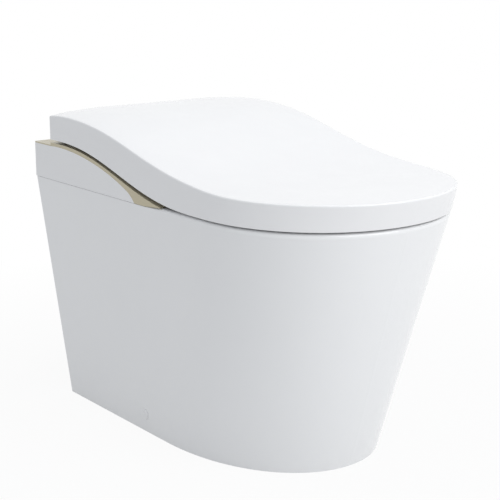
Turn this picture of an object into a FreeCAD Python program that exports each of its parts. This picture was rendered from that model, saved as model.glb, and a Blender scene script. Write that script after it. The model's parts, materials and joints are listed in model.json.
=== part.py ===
"""One-piece floor-standing toilet with a heated seat, a wash unit and a sweeping lid.

Frame: millimetres, +Z up, the toilet faces -Y, X across. The origin is on the floor, in the
middle of the bounding box. Left and right are a seated user's: right is -X.
"""
import FreeCAD, Part
import math
import os

V = FreeCAD.Vector
X_AXIS, Z_AXIS = V(1, 0, 0), V(0, 0, 1)
FAR = 600.0                   # further out than any piece
OVER = 1.0                    # how far a cutter runs past the face that it opens

# ---------------------------------------------------------------- overall form
DEPTH = 695.0                 # wall side to the lid's front tip
BACK_Y = DEPTH / 2
LID_WIDTH = 400.0
RIM_Z = 382.0                 # the ceramic's flat top, inside its raised lip
FRONT_PULL = 0.58             # handle length of the front curves, as a share of their reach
# the ceramic's outline at RIM_Z: half width, front, back, and where the straight side turns
SKIRT_TOP_HALF = 199.1
SKIRT_TOP_FRONT = -333.7
SKIRT_TOP_BACK = BACK_Y - 4.0
SKIRT_TOP_TURN = -133.0
FOOT_HALF = 166.5             # the same four at the floor
FOOT_FRONT = -226.7
FOOT_BACK = 307.5
FOOT_TURN = 15.0

# ---------------------------------------------------------------- ceramic
SKIRT_WALL = 11.0
DECK_THICK = 12.0
BASIN_WALL = 10.0
SUMP_Z = 165.0                # where the bowl is joined to its sump
LIP_RISE = 4.0                # the lip round the front stands above the flat top
LIP_WIDTH = 14.0
LIP_ROUND = 6.0               # of the lip's outer edge
LIP_END_ROUND = 0.4           # what is left of that rounding where the lip has run out
LIP_RAMP = (-28.0, 18.0)      # y where the lip starts to fall towards the back, and where it has run out
RIM_INNER_HALF = 132.0        # the bowl's opening
RIM_INNER_FRONT = -290.0
RIM_INNER_BACK = 58.0
RIM_ROUND = 7.0
# the bowl from the rim down: height, half width, front and back
BASIN_SECTIONS = [
    (RIM_Z, RIM_INNER_HALF, RIM_INNER_FRONT, RIM_INNER_BACK),
    (345.0, 129.0, -286.0, 54.0),
    (290.0, 113.0, -266.0, 32.0),
    (230.0, 82.0, -214.0, -4.0),
    (175.0, 54.0, -158.0, -33.0),
    (125.0, 38.0, -128.0, -50.0),
    (78.0, 30.0, -114.0, -56.0),
]
EGG_MIDDLE = 0.56             # where an oval is widest, as a share of its length from the front
EGG_FRONT_PULL = 0.5523       # handle lengths of its front quarters, which makes them ellipses
EGG_BACK_PULL = 0.62          # and of its fuller back quarters
TRAP_BORE_R = 26.0
TRAP_WALL = 8.0
TRAP_BEND_R = 46.0
# y, z of the trapway's centreline: in the sump, its dip, over the weir, above the outlet
TRAP_FLOOR = (-90.0, 104.0)
TRAP_DIP = (-30.0, 104.0)
TRAP_WEIR = (70.0, 253.0)
TRAP_DROP_Z = 192.0
OUTLET_Y = 147.5              # 200 mm from the wall side
HORN_Z = 34.0                 # the outlet horn's lower end
PORT_R = 8.0                  # the two ways in for flush water
PORT_BOSS_WALL = 5.0
JET_PORT = (-84.0, 92.0)      # y, z of the jet's port in the sump's side
JET_BOSS_X = 58.0             # where its boss ends
RIM_PORT = (62.0, 348.0)      # x, z of the rim flush port in the bowl's back wall
RIM_BOSS_Y = 74.0
WELL_Y = (118.0, 318.0)       # the two ways through the deck behind the bowl
WELL_X = (42.0, 140.0)        # |x| of both
WELL_ROUND = 12.0
BACK_OPEN = (150.0, 330.0)    # half width and height of the open back
CAP_Y, CAP_Z = 74.0, 30.0     # the side fixing's centre on the skirt
CAP_R = 9.5
CAP_THICK = 1.4
CAP_PLUG = 3.0                # how deep the cap sits in its hole
CAP_HOLE_R = 8.0
CAP_HOLE_DEPTH = 6.0
CAP_FIT = 0.2
SIDE_SCREW_R = 3.0
SIDE_SCREW_RUN = 0.5
SIDE_SCREW_LENGTH = 18.1
SIDE_HEAD = (6.0, 2.5)        # radius and height of its head
SIDE_HEAD_GAP = 0.1

# ---------------------------------------------------------------- lid, profile seen from the side
LID_FRONT_TOP_Z = 425.3
LID_SKIRT_H = 37.0            # height of the lid's side band at the front
LID_SWEEP_END_Y = -221.6      # where the top's sweep runs out into the flat front
LID_SWEEP_END_PULL = 247.9
LID_CREST_Y = 249.7
LID_CREST_Z = 490.4
LID_CREST_PULL = 185.7
LID_BACK_Y = 292.5
LID_BACK_Z = 487.0
LID_BACK_FALL = 3.0           # how much lower the top's curve ends, LID_RUN_OUT behind the back
LID_RUN_OUT = 20.0            # how far the long curves run past the lid at both ends
LID_CROWN_BACK = 8.0          # how much the middle of the top stands above its side edges
LID_CROWN_FRONT = 1.5
LID_CROWN = [(-1.0, 0.0), (-0.7, 0.86), (0.0, 1.0), (0.7, 0.86), (1.0, 0.0)]    # place and height, as shares
LID_FRONT_SLOPE = 0.324       # the front band leans out towards its top
LID_LOW_SWEEP_END_Y = -100.5  # the same curve along the lid's lower edge
LID_LOW_SWEEP_END_PULL = 155.4
LID_LOW_CREST_Y = 266.2
LID_LOW_CREST_Z = 449.7
LID_LOW_CREST_PULL = 149.7
LID_SIDE_INSET = 0.2          # the lid's sides inside its widest line
LID_WALL = 3.0
LID_EDGE_ROUND = 2.4
LINER_DROP = 4.0              # air between lid shell and liner
LINER_THICK = 2.5
LINER_FIT = 0.3
LINER_BACK = 264.0
LID_BUFFERS = [(160.0, -70.0), (90.0, -265.0)]     # +X side; the others are mirrored
LID_BUFFER_R = 6.0
LID_BUFFER_GAP = 0.2          # above the seat
SWEEP_STEPS = 10              # how finely the lid's long curves are followed
LID_HALF = LID_WIDTH / 2 - LID_SIDE_INSET
LID_LOW_Z = LID_FRONT_TOP_Z - LID_SKIRT_H
LID_LOW_FRONT = -BACK_Y + LID_FRONT_SLOPE * LID_SKIRT_H
UNDER_Z = 300.0               # the level down to which the profiles of lid, seat and unit are filled

# ---------------------------------------------------------------- hinge line
HINGE_Y = 284.0
HINGE_Z = 461.0
HINGE_PIN_R = 5.0
HINGE_RUN = 0.05              # radial running clearance on the pins
PIN_X = (92.0, 158.5)
PIN_HOLE_RUN = 0.2            # radial, where they leave the unit's barrel
PIN_END_GAP = 0.1
KNUCKLE_R = 11.0
SEAT_KNUCKLE = (119.0, 139.0)    # |x| from and to
SEAT_WEB = (8.0, 9.0)         # how far the knuckle's web reaches below and above the hinge line
LID_EAR = (141.0, 159.0)
LID_WEB = (8.0, 7.0)          # how far the ear's web reaches before and behind the hinge line
LID_WEB_SINK = 1.5            # below the lid's top at the back
LID_NOTCH_HALF = 164.0        # the lid's back band is cut away over the hinge line
LID_NOTCH_Z = 476.5
BARREL_R = 14.0
BARREL_HALF = 117.0
MOTOR_R = 12.0
MOTOR_FIT = 0.2
MOTOR_X = (64.0, 113.5)
MOTOR_NECK = (7.0, 10.0)      # radius and length

# ---------------------------------------------------------------- seat
SEAT_LIFT = 8.0               # seat underside above the ceramic
SEAT_HALF = 193.0
SEAT_FRONT = -327.0
SEAT_TURN = -128.0
SEAT_TOP_DROP = 13.5          # below the lid's top edge
SEAT_OPEN_HALF = 107.0
SEAT_OPEN_FRONT = -262.0
SEAT_OPEN_BACK = 20.0
SEAT_NOTCH_HALF = 119.0       # between the two arms, round the unit's top cover
SEAT_NOTCH_Y = 72.0
SEAT_ARM_END = 262.0
SEAT_SKIN = 3.0
SEAT_FLOOR = 3.0
SEAT_FLOOR_FIT = 0.2
SEAT_ROUND = 9.0
HEATER_THICK = 1.0
HEATER_INSET = 8.0            # from the inside of the seat's skin
HEATER_NOTCH_GAP = 12.0
SEAT_BUFFERS = [(163.0, -60.0), (122.0, -232.0)]   # +X side; the others are mirrored
SEAT_BUFFER_SIZE = (26.0, 12.0)    # length and width of the rubber feet
SEAT_BUFFER_GAP = 0.1         # above the ceramic
TOP_EDGES_Z = 400.0           # the edges round the top of lid and seat all lie above this

# ---------------------------------------------------------------- wash unit's covers
UNIT_GAP = 1.5                # gasket between ceramic and unit
UNIT_Z = RIM_Z + UNIT_GAP
PANEL = 3.5                   # wall of the white side covers
PANEL_INSET = 0.2             # the back panel and the ledge stand back from the widest line
PANEL_JOIN = 0.5              # between the back panel and the side covers
COVER_HALF = 199.6
COVER_ROUND = 3.0             # of the upright back corners
COVER_BACK_X = 150.0          # where the side covers end on the back
SEAM_GAP = 0.6                # between the ceramic and the side covers and trims
SEAM_Z = RIM_Z + SEAM_GAP
LEDGE_Z = 440.5
LEDGE_THICK = 2.0
LEDGE_FRONT = 293.0
LEDGE_JOIN = 0.3
LEDGE_SEAT = 0.05             # between the ledge plate and the covers under it
# the side cover's upper edge (y, z), from the ledge down to the seam
COVER_SWEEP = [(LEDGE_FRONT, LEDGE_Z - LEDGE_THICK), (232.0, 443.0), (136.0, 429.0), (66.0, 398.5)]
COVER_TIP = [(66.0, 398.5), (55.0, 393.7), (49.5, 388.0), (45.0, SEAM_Z)]
TRIM_INSET = 0.2
TRIM_TIP_Y = -24.0
TRIM_DEPTH = 13.0             # how far the metal trim reaches in under the lid
# how far below the lid's lower edge the trim's crease and its inner edge run, at front and back
TRIM_CREASE_DROP = (7.0, 5.2)
TRIM_INNER_DROP = (0.8, 4.4)  # clear of the lid's swing
VENT_X = 66.0
VENT_Z = (400.0, 424.0)
VENT_COUNT = 8
VENT_PITCH = 7.0
VENT_WIDTH = 3.0
TRAY_THICK = 3.0
TRAY_HALF = 182.4
TRAY_Y = (63.3, 340.0)
TRAY_SLOT_GAP = 1.0           # round the nozzle's guide where it comes through the tray
TRAY_SLOT_END = 60.0          # along the nozzle
TRAY_SCREWS = [(172.0, 92.0), (172.0, 318.0)]      # +X side; the others are mirrored
TRAY_POST = (4.0, 12.0)       # radius and height of the posts for the top cover's screws
TRAY_SCREW_R = 1.6
TRAY_SCREW_LENGTH = 9.0
TRAY_SCREW_HOLE = 10.0
TRAY_SCREW_HEAD = (3.4, 2.2)
TRAY_SCREW_SLOT = (4.0, 0.8, 0.8)    # length, width and depth
GASKET_PROUD = 1.0            # the gasket's edge beyond the tray
GASKET_RIM = (11.0, 15.0, 14.0)    # its width at the sides, front and back
SHELF_HALF = 185.8            # the unit's top cover beside the hump
SHELF_FRONT = 60.0
SHELF_DROP = 4.0              # below the lid's lower edge
HUMP_HALF = 115.0
HUMP_FRONT = 77.0
HUMP_BACK = 272.0
HUMP_DROP = 16.0              # below the lid's top
SADDLE = (8.0, 9.0)           # the hinge's saddle: into the hump, and behind the hinge line
SADDLE_Z = 430.0
COVER_WALL = 3.0
HOOD_HALF = 24.0              # the hood over the nozzle's mouth
HOOD_TOP = 12.6               # above the nozzle's axis
HOOD_TOP_THIN = 0.6           # its top wall, as a share of the others
HOOD_FRONT = -6.0             # along the nozzle's axis
HOOD_REACH = 10.0             # how far the hood runs into the hump
MOUTH_REACH = 20.0            # the nozzle's opening, along its axis
LENS_AT = (62.0, 396.0)       # x, z of the night light
LENS_HALF = (12.0, 4.0)
LENS_FIT = 0.2
LENS_INSET = 0.3
LENS_FLANGE = 2.0
LENS_SEAT = 0.1
LENS_DEPTH = 5.0

# ---------------------------------------------------------------- spray nozzle
NOZZLE_TILT = 22.0            # degrees below the horizontal
NOZZLE_MOUTH = (60.0, 396.0)  # y, z of its axis at the mouth
NOZZLE_R = 8.0
NOZZLE_LENGTH = 162.0
NOZZLE_TRAVEL = 105.0
NOZZLE_RUN = 0.3
NOZZLE_BORE_R = 2.5
TIP_LENGTH = 14.0
TIP_PROUD = 0.6               # in front of the hood
SHIELD_R = 9.6
SHIELD_THICK = 2.0
SHIELD_RUN = 0.4
SPRAY_AT = 3.5                # the spray holes, along the axis
SPRAY_X = (-2.2, 0.0, 2.2)
SPRAY_R = 0.7
SPRAY_END = 2.0               # the front end of the channel that feeds them
GEAR_MODULE = 1.0
PRESSURE_ANGLE = math.radians(20.0)
BACKLASH = 0.16
PINION_TEETH = 14
PINION_R = GEAR_MODULE * PINION_TEETH / 2
PINION_DEDENDUM = 1.2 * GEAR_MODULE
PINION_AT = 50.0              # behind the mouth, along the nozzle
PINION_WIDTH = 6.0
FLANK_START = 0.01            # the flanks start this far outside the base circle
FLANK_SPANS = 3
RACK_PITCH_UP = 6.6           # the rack's pitch line above the nozzle's axis, inside its round
RACK_SIDE_RUN = 0.4           # between the pinion's faces and the sides of the rack's slots
RACK_ADDENDUM = 0.8 * GEAR_MODULE
RACK_DEDENDUM = 1.3 * GEAR_MODULE
RACK_PHASE = 0.5              # of a pitch, so that a tooth of the pinion meets a space
RACK_LEAD = 2                 # spaces in front of the pinion
SHAFT_R = 2.0
SHAFT_RUN = 0.05
SHAFT_END = 20.0
SHAFT_END_GAP = 0.5
GUIDE_R = 10.5
GUIDE_FRONT_GAP = 0.2         # behind the hood's wall
GUIDE_PAST = 2.0              # behind the nozzle's end
GUIDE_SLOT = (4.0, 10.0)      # half width, and how far in front of the pinion it starts
GUIDE_OPEN = (25.0, 4.0)      # behind the pinion by the first, the guide is open above the second
GUIDE_LEGS_Y = (112.0, 190.0)
GUIDE_LEG = (4.0, 3.0)        # half width and half length
GUIDE_LEG_SINK = 1.0
CHEEK = (5.0, 8.0)            # |x| of the pinion's two bearing plates
CHEEK_HALF = 9.0
CHEEK_RISE = 5.0              # above the pinion's axis
CHEEK_SINK = 2.0              # into the guide
DRIVE_MOTOR = (11.0, 18.0)    # radius and length

# ---------------------------------------------------------------- inside the unit
FAN_AT = (-74.0, 186.0)
FAN_R = 24.0
FAN_HOUSE_R = 30.0
FAN_TOP = 436.0
FAN_INLET_R = 15.0
FAN_DISC = (9.0, 11.0)        # above the tray, like the next two
FAN_BEARING = 8.0
FAN_SHAFT_END = 3.0
FAN_BEARING_R = 5.0
FAN_BORE_END = 2.5
FAN_HUB_R = 6.0
FAN_HUB_DROP = 8.0            # below the housing's top, like the next
BLADE_DROP = 6.0
BLADE_COUNT = 12
BLADE_THICK = 1.6
DUCT = (-103.0, -75.0, 66.0, 152.0, 391.0, 409.0)    # x0, x1, y0, y1, z0, z1
DUCT_WALL = 2.0
DUCT_FIT = 0.3
CARTRIDGE_X = (122.0, 199.4)
CARTRIDGE_FRONT = (205.0, 251.0, 393.0, 421.0)       # y0, y1, z0, z1
CARTRIDGE_GAP = 0.6           # round its front in the covers
CARTRIDGE_RUN = 0.4           # in its housing
CARTRIDGE_WALL = 2.5
CARTRIDGE_STOP = 3.0
FILTER_COUNT = 6
FILTER_PITCH = 7.0
FILTER_WIDTH = 4.0
FILTER_MARGIN = (6.0, 5.0, 3.0)    # from the cartridge's inner end, side and underside
FILTER_END = 12.0             # inside the shelf's edge
GRIP_R = 9.0
GRIP_OUT = 4.0                # the grip's centre outside the cartridge's face
BUTTON = (285.0, 412.0)       # y, z
BUTTON_R = 6.5
BUTTON_RUN = 0.4
BUTTON_PROUD = 0.2
BUTTON_FLANGE = (1.5, 2.0)    # wider by, and thickness
BUTTON_INNER = 3.0            # its inner end outside the shelf
HEATER_BOX = (42.0, 106.0, 104.0, 190.0)             # x0, x1, y0, y1
HEATER_TOP = 436.0
HEATER_ROUND = 5.0
HEATER_CAP = (14.0, 5.0)      # radius and height of its thermostat
PUMP_Y = (204.0, 262.0)
PUMP_R = 17.0
PUMP_UP = 19.0                # its axis above the tray
PUMP_HEAD = (19.0, 16.5, 18.0)    # half width, length and height above the axis
VALVE_AT = (-90.0, 286.0)
VALVE_HALF = 16.0
VALVE_TOP = 26.0              # above the tray
VALVE_COIL = (12.0, 16.0)     # radius and height
INLET_R = 10.45               # the supply's external thread, over its crests
INLET_Z = 342.0
INLET_THREAD = 14.0
INLET_COLLAR = (13.0, 6.0)
INLET_BORE = (6.0, 30.0)
PIPE_R = 4.0
PIPE_UP = 12.0                # above the tray
PIPE_BEND = 12.0
BOARD_BOX = (-178.0, -122.0, 124.0, 262.0)
BOARD_UP = 7.0
BOARD_THICK = 1.6
BOARD_POST = (3.0, 5.0, 6.0)  # radius, and its place in from the board's corner
# the parts on the board: x, y from its corner, then width, length and height
BOARD_PARTS = [
    (6, 8, 22, 26, 12), (34, 10, 14, 14, 8), (8, 46, 40, 18, 5),
    (10, 76, 16, 22, 15), (34, 80, 12, 30, 10), (10, 112, 34, 12, 7),
]
GLAND_AT = (-60.0, 308.0)
GLAND_R = (9.0, 6.8, 3.6)     # flange, barrel and bore
GLAND_TOP = 8.0               # above the tray
GLAND_LOW = 22.0              # below the ceramic's top
GLAND_NUT = 6.0
TRAY_HOLES = [VALVE_AT + (11.0,), GLAND_AT + (7.2,)]

# ---------------------------------------------------------------- flush works, outlet and floor fixings
TANK_BOX = (50.0, 132.0, 128.0, 308.0)               # x0, x1, y0, y1
TANK_Z = 176.0
TANK_ROUND = 10.0
TANK_PROUD = 0.5              # above the ceramic's top
TANK_FLANGE = (7.0, 1.4)      # width and thickness
JET_PUMP = (30.0, 70.0)       # radius and length
JET_PUMP_MOTOR = (20.0, 25.0)
JET_PUMP_Y = 40.0             # behind the tank's front
JET_PUMP_MOUTH = (11.0, 42.0)    # radius, and reach in front of the pump's axis
JET_PUMP_MOUTH_Z = 40.0       # below the tank
JET_HOSE_R = 8.5
JET_HOSE_BEND = 20.0
JET_HOSE_TURN = 75.0          # in front of the pump's axis
JET_HOSE_LEAD = 32.0          # behind the jet's port
RIM_HOSE_R = 10.0
OUTLET_R = 30.0
OUTLET_SEAT = 28.0            # the outlet's bore ends here, and its wider socket begins
OUTLET_FLANGE = (62.0, 5.0)   # radius and thickness
OUTLET_SOCKET = (44.0, 39.5, 62.0)    # outer and inner radius, and top
OUTLET_SLOPE = 2.0
OUTLET_SCREW = (53.0, 3.0)    # |x| and radius
OUTLET_GASKET_Z = (40.0, 58.0)
BRACKET_LEG = 34.0            # along the floor, from the skirt's inside
BRACKET_POST = 14.0
BRACKET_HALF = 18.0
BRACKET_THICK = 4.0
BRACKET_TOP = 50.0
BRACKET_GAP = 0.6
BRACKET_FIT = 0.2             # against the skirt's inside
BRACKET_HOLE = 40.0           # length of the screw's hole
FLOOR_HOLE_X = 130.0
FLOOR_HOLE_R = 4.5

parts = {}


# ================================================================ helpers
def keep(name, *solids):
    """Files one sub-part, made of one or more separate solids."""
    found = []
    for shape in solids:
        found += shape.Solids
    for solid in found:
        if not solid.isValid() or solid.Volume <= 0:
            print("check", name, solid.isValid(), solid.Volume)
    parts[name] = found[0] if len(found) == 1 else Part.makeCompound(found)


def block(x0, x1, y0, y1, z0, z1):
    return Part.makeBox(x1 - x0, y1 - y0, z1 - z0, V(x0, y0, z0))


def rod(radius, start, end):
    start, end = V(*start), V(*end)
    return Part.makeCylinder(radius, (end - start).Length, start, end - start)


def upright_rod(radius, x, y, z0, z1):
    return rod(radius, (x, y, z0), (x, y, z1))


def both_sides(shape):
    """The shape and its mirror image in X."""
    return [shape, shape.mirror(V(0, 0, 0), X_AXIS)]


def line(a, b):
    return Part.makeLine(V(*a), V(*b))


def bezier(*points):
    curve = Part.BezierCurve()
    curve.setPoles([V(*p) for p in points])
    return curve.toShape()


def rounded(shape, radius, wanted):
    """Fillets the edges that wanted() picks."""
    return shape.makeFillet(radius, [edge for edge in shape.Edges if wanted(edge)])


def is_upright(edge):
    return abs(edge.tangentAt(edge.FirstParameter).z) > 0.99


def prism_across(outline, half):
    """An outline of y, z points, carried from -half to half in X."""
    points = [V(-half, y, z) for y, z in outline]
    return Part.Face(Part.makePolygon(points + points[:1])).extrude(V(2 * half, 0, 0))


# ================================================================ outlines and profiles
def plan_wire(half, back, turn, front, z):
    """The toilet's outline from above: square at the back, straight sides, a full front curve."""
    pull = FRONT_PULL * (turn - front)
    side = FRONT_PULL * half
    return Part.Wire([
        line((half, back, z), (-half, back, z)),
        line((-half, back, z), (-half, turn, z)),
        bezier((-half, turn, z), (-half, turn - pull, z), (-side, front, z), (0, front, z)),
        bezier((0, front, z), (side, front, z), (half, turn - pull, z), (half, turn, z)),
        line((half, turn, z), (half, back, z)),
    ])


def egg_wire(half, front, back, z):
    """A closed oval from above, for the bowl and the seat's opening."""
    middle = front + EGG_MIDDLE * (back - front)
    k, full = EGG_FRONT_PULL, EGG_BACK_PULL
    fore, aft = k * (middle - front), full * (back - middle)
    return Part.Wire([
        bezier((-half, middle, z), (-half, middle - fore, z), (-k * half, front, z), (0, front, z)),
        bezier((0, front, z), (k * half, front, z), (half, middle - fore, z), (half, middle, z)),
        bezier((half, middle, z), (half, middle + aft, z), (full * half, back, z), (0, back, z)),
        bezier((0, back, z), (-full * half, back, z), (-half, middle + aft, z), (-half, middle, z)),
    ])


def skirt_wire(z, inset=0.0):
    """The ceramic's outline at a height, straight from the foot to the rim and on."""
    share = z / RIM_Z
    half = FOOT_HALF + share * (SKIRT_TOP_HALF - FOOT_HALF)
    back = FOOT_BACK + share * (SKIRT_TOP_BACK - FOOT_BACK)
    turn = FOOT_TURN + share * (SKIRT_TOP_TURN - FOOT_TURN)
    front = FOOT_FRONT + share * (SKIRT_TOP_FRONT - FOOT_FRONT)
    return plan_wire(half - inset, back - inset, turn, front + inset, z)


def lid_plan(inset):
    """The lid's outline as a solid that leans out at the front."""
    wires = []
    for z in (UNDER_Z, LID_CREST_Z + 2 * LID_CROWN_BACK):
        front = LID_LOW_FRONT - LID_FRONT_SLOPE * (z - LID_LOW_Z) + inset
        wires.append(plan_wire(LID_HALF - inset, LID_BACK_Y - inset, SKIRT_TOP_TURN, front, z))
    return Part.makeLoft(wires, True, True)


def sweep_edge(x, front_z, end, crest, back):
    """A long S at x, from the flat front up to the crest and over to the back, as one curve.

    end is where the S runs out at the front and crest is its top: y, pull and, for the crest, z.
    """
    end_y, end_pull = end
    crest_y, crest_pull, crest_z = crest
    back_y, back_z = back
    rise = Part.BezierCurve()
    rise.setPoles([V(x, end_y, front_z), V(x, end_y + end_pull, front_z),
                   V(x, crest_y - crest_pull, crest_z), V(x, crest_y, crest_z)])
    flat = -BACK_Y - LID_RUN_OUT - end_y
    points = [V(x, end_y + flat * share, front_z) for share in (1.0, 0.75, 0.5, 0.25, 0.1)]
    points += [rise.value(i / SWEEP_STEPS) for i in range(SWEEP_STEPS + 1)]
    for share in (0.35, 0.7, 1.0):
        points.append(V(x, crest_y + share * (back_y - crest_y), crest_z + share ** 2 * (back_z - crest_z)))
    curve = Part.BSplineCurve()
    curve.interpolate(points)
    return curve.toShape()


def under(edge, x):
    """The closed wire of the area under a profile."""
    first, last = edge.Vertexes[0].Point, edge.Vertexes[-1].Point
    a, b = (x, first.y, UNDER_Z), (x, last.y, UNDER_Z)
    return Part.Wire([line(a, first), edge, line(last, b), line(b, a)])


def lid_top_edge(x, drop, crown):
    """The lid's top in the plane at x. crown is 0 at the side edges and 1 in the middle."""
    return sweep_edge(
        x, LID_FRONT_TOP_Z - drop + LID_CROWN_FRONT * crown,
        (LID_SWEEP_END_Y, LID_SWEEP_END_PULL),
        (LID_CREST_Y, LID_CREST_PULL, LID_CREST_Z - drop + LID_CROWN_BACK * crown),
        (LID_BACK_Y + LID_RUN_OUT, LID_BACK_Z - drop - LID_BACK_FALL + LID_CROWN_BACK * crown))


def lid_low_edge(x, front_lift, back_lift):
    """The lid's lower edge in the plane at x, raised by so much at its front and back."""
    crest_z = LID_LOW_CREST_Z + back_lift
    return sweep_edge(
        x, LID_LOW_Z + front_lift,
        (LID_LOW_SWEEP_END_Y, LID_LOW_SWEEP_END_PULL),
        (LID_LOW_CREST_Y, LID_LOW_CREST_PULL, crest_z),
        (BACK_Y + LID_RUN_OUT, crest_z))


def below_lid_top(drop=0.0):
    """Everything under the lid's crowned top, lowered by drop."""
    wires = []
    for place, crown in LID_CROWN:
        x = place * (LID_WIDTH / 2 + LID_RUN_OUT / 4)
        wires.append(under(lid_top_edge(x, drop, crown), x))
    return Part.makeLoft(wires, True, False)


def below_lid_low(lift=0.0):
    """Everything under the lid's lower edge, raised by lift."""
    wide = LID_WIDTH / 2 + LID_RUN_OUT / 2
    return Part.Face(under(lid_low_edge(-wide, lift, lift), -wide)).extrude(V(2 * wide, 0, 0))


# ================================================================ ceramic
def skirt_solid(inset, z0, z1):
    return Part.makeLoft([skirt_wire(z0, inset), skirt_wire(z1, inset)], True, True)


def skirt_lean():
    return math.atan((SKIRT_TOP_HALF - FOOT_HALF) / RIM_Z)


def basin_solid(wall):
    """The bowl as a smooth solid; wall = 0 is the wetted surface."""
    wires = []
    for z, half, front, back in BASIN_SECTIONS:
        low = z - wall if z == BASIN_SECTIONS[-1][0] else z
        wires.append(egg_wire(half + wall, front - wall, back + wall, low))
    return Part.makeLoft(wires, True, False)


def basin_hollow():
    """The bowl's inside, carried on up through the deck."""
    rim = egg_wire(RIM_INNER_HALF, RIM_INNER_FRONT, RIM_INNER_BACK, RIM_Z)
    return basin_solid(0.0).fuse(Part.Face(rim).extrude(V(0, 0, DECK_THICK)))


def rounded_path(points, radius):
    """A centreline of straight runs joined by tangent arcs."""
    edges = []
    start = V(*points[0])
    for corner, after in zip(points[1:-1], points[2:]):
        corner, after = V(*corner), V(*after)
        into = (corner - start).normalize()
        out = (after - corner).normalize()
        turn = math.acos(max(-1.0, min(1.0, into.dot(out))))
        reach = radius * math.tan(turn / 2)
        a, b = corner - into * reach, corner + out * reach
        inward = (out - into).normalize()
        middle = corner + inward * (radius / math.cos(turn / 2) - radius)
        edges.append(Part.makeLine(start, a))
        edges.append(Part.Arc(a, middle, b).toShape())
        start = b
    edges.append(Part.makeLine(start, V(*points[-1])))
    return edges


def pipe(points, bend, radius):
    """A round bar along a centreline, one solid per run so that every face stays exact."""
    solids = []
    for edge in rounded_path(points, bend):
        at = edge.valueAt(edge.FirstParameter)
        along = edge.tangentAt(edge.FirstParameter)
        ring = Part.Wire([Part.makeCircle(radius, at, along)])
        if edge.Curve.TypeId == "Part::GeomCircle":
            turn = math.degrees(edge.LastParameter - edge.FirstParameter)
            solids.append(Part.Face(ring).revolve(edge.Curve.Center, edge.Curve.Axis, turn))
        else:
            solids.append(Part.Face(ring).extrude(along * edge.Length))
    return solids[0].fuse(solids[1:]).removeSplitter()


def trap_points(end_z):
    spots = [TRAP_FLOOR, TRAP_DIP, TRAP_WEIR, (OUTLET_Y, TRAP_DROP_Z), (OUTLET_Y, end_z)]
    return [(0.0, y, z) for y, z in spots]


def side_fixing(radius, start, end):
    """A rod square to the skirt's side at the fixing, start and end measured out from its surface."""
    lean = skirt_lean()
    out = V(math.cos(lean), 0, -math.sin(lean))
    spot = V(FOOT_HALF + CAP_Z * math.tan(lean), CAP_Y, CAP_Z)
    return Part.makeCylinder(radius, end - start, spot + out * start, out)


def make_skirt():
    deck_low = RIM_Z - DECK_THICK
    skirt = skirt_solid(0.0, 0.0, deck_low).cut(skirt_solid(SKIRT_WALL, -OVER, deck_low + OVER))
    half, height = BACK_OPEN
    skirt = skirt.cut(block(-half, half, FOOT_BACK - 2 * SKIRT_WALL, FAR, -OVER, height))
    seat = side_fixing(CAP_HOLE_R, -CAP_HOLE_DEPTH, OVER)
    fixing = seat.fuse(side_fixing(SIDE_SCREW_R + SIDE_SCREW_RUN, -2 * SKIRT_WALL, 0.0))
    for hole in both_sides(fixing):
        skirt = skirt.cut(hole)
    keep("skirt_ceramic", skirt)


def under_lip(gap):
    """Everything under the ceramic's upper outline, raised by gap: its flat, then the ramp up to the lip."""
    full, out = LIP_RAMP
    flat_z, lip_z = RIM_Z + gap, RIM_Z + LIP_RISE + gap
    outline = [(-FAR, 0.0), (FAR, 0.0), (FAR, flat_z), (out, flat_z), (full, lip_z), (-FAR, lip_z)]
    return prism_across(outline, FAR)


def corner_scrap(y, top, radius):
    """What a rounding of this radius takes off the ceramic's upper edge on +X, in the plane at y."""
    lean = skirt_lean()
    corner = V(FOOT_HALF + top * math.tan(lean), y, top)
    down, out = V(-math.sin(lean), 0, -math.cos(lean)), V(math.cos(lean), 0, -math.sin(lean))
    reach = radius / math.tan((math.pi / 2 - lean) / 2)
    inner, lower = corner - X_AXIS * reach, corner + down * reach
    centre = inner - Z_AXIS * radius
    middle = centre + (corner - centre).normalize() * radius
    outside = corner + X_AXIS + Z_AXIS
    return Part.Wire([
        Part.Arc(inner, middle, lower).toShape(),
        Part.makeLine(lower, lower + out),
        Part.makeLine(lower + out, outside),
        Part.makeLine(outside, inner + Z_AXIS),
        Part.makeLine(inner + Z_AXIS, inner),
    ])


def lip_edge(edge):
    """True for the upper outer edge of the lip, round the front."""
    box = edge.BoundBox
    inside = LIP_WIDTH / 2
    level = min(vertex.Z for vertex in edge.Vertexes) > RIM_Z + LIP_RISE / 2
    outer = max(box.XMax, -box.XMin) > SKIRT_TOP_HALF - inside or box.YMin < SKIRT_TOP_FRONT + inside
    return level and outer and box.YLength > inside


def bowl_edge(edge):
    """True for the upper edge of the bowl's opening."""
    box = edge.BoundBox
    level = abs(box.ZMin - RIM_Z) < 0.01 and abs(box.ZMax - RIM_Z) < 0.01
    across = max(box.XMax, -box.XMin) < RIM_INNER_HALF + RIM_ROUND
    return level and across and box.YMax < RIM_INNER_BACK + RIM_ROUND


def deck_plate():
    """The ceramic's top plate with its raised lip, whose outer edge is round at the front and fades out."""
    lip_z = RIM_Z + LIP_RISE
    full, out = LIP_RAMP
    plate = skirt_solid(0.0, RIM_Z - DECK_THICK, lip_z).common(under_lip(0.0))
    plate = plate.cut(Part.Face(skirt_wire(RIM_Z, LIP_WIDTH)).extrude(V(0, 0, 2 * LIP_RISE)))
    front = plate.common(block(-FAR, FAR, -FAR, full, 0.0, FAR))
    back = plate.common(block(-FAR, FAR, full, FAR, 0.0, FAR))
    scraps = [corner_scrap(full, lip_z, LIP_ROUND), corner_scrap(out, RIM_Z, LIP_END_ROUND)]
    for fade in both_sides(Part.makeLoft(scraps, True, True)):
        back = back.cut(fade)
    return rounded(front, LIP_ROUND, lip_edge).fuse(back).removeSplitter()


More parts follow.
